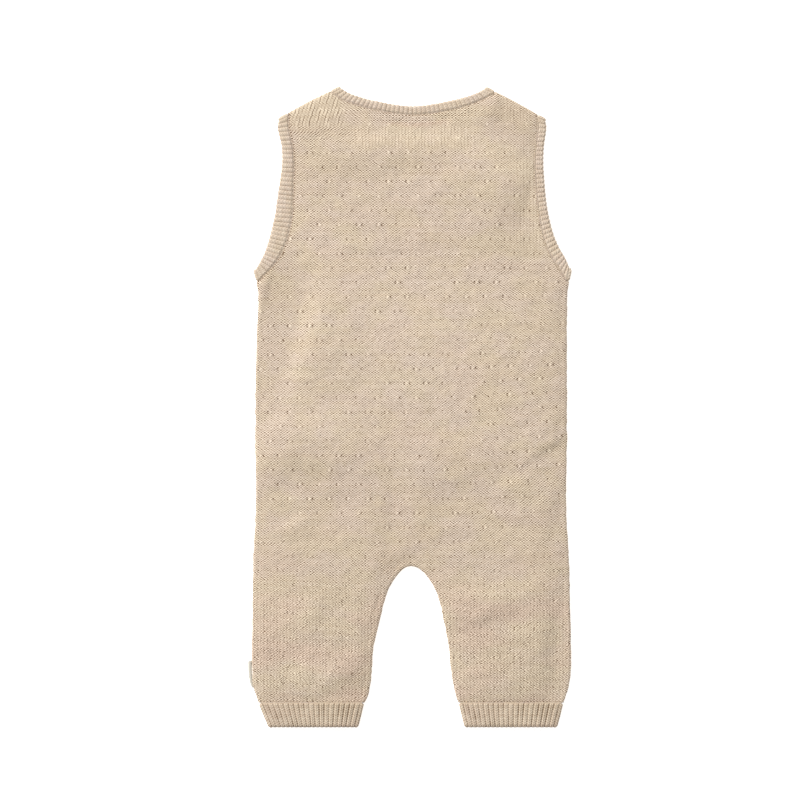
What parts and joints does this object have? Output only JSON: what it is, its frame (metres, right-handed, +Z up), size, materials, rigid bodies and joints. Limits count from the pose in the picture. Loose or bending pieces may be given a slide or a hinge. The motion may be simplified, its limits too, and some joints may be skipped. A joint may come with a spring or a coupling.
{
  "type": "baby romper",
  "caption": "Sleeveless knitted baby romper with legs, laid flat on its front, with ribbed neckband, armhole bands and leg cuffs.",
  "frame": {"origin": "centre of the flat garment's outline, at the surface that it lies on", "axes": "+Y up the garment to the neck, +Z up from the surface, +X to the wearer's right; the back of the garment faces +Z"},
  "size_m": [0.2531, 0.5015, 0.0076],
  "materials": {
    "body_knit": "matte",
    "rib_knit": "matte",
    "label_tape": "matte"
  },
  "bodies": {
    "root": {"back_panel": "body_knit", "front_panel": "body_knit", "neckband": "rib_knit", "armhole_band_left": "rib_knit", "armhole_band_right": "rib_knit", "leg_cuff_left": "rib_knit", "leg_cuff_right": "rib_knit", "label_tab": "label_tape"}
  },
  "joints": []
}
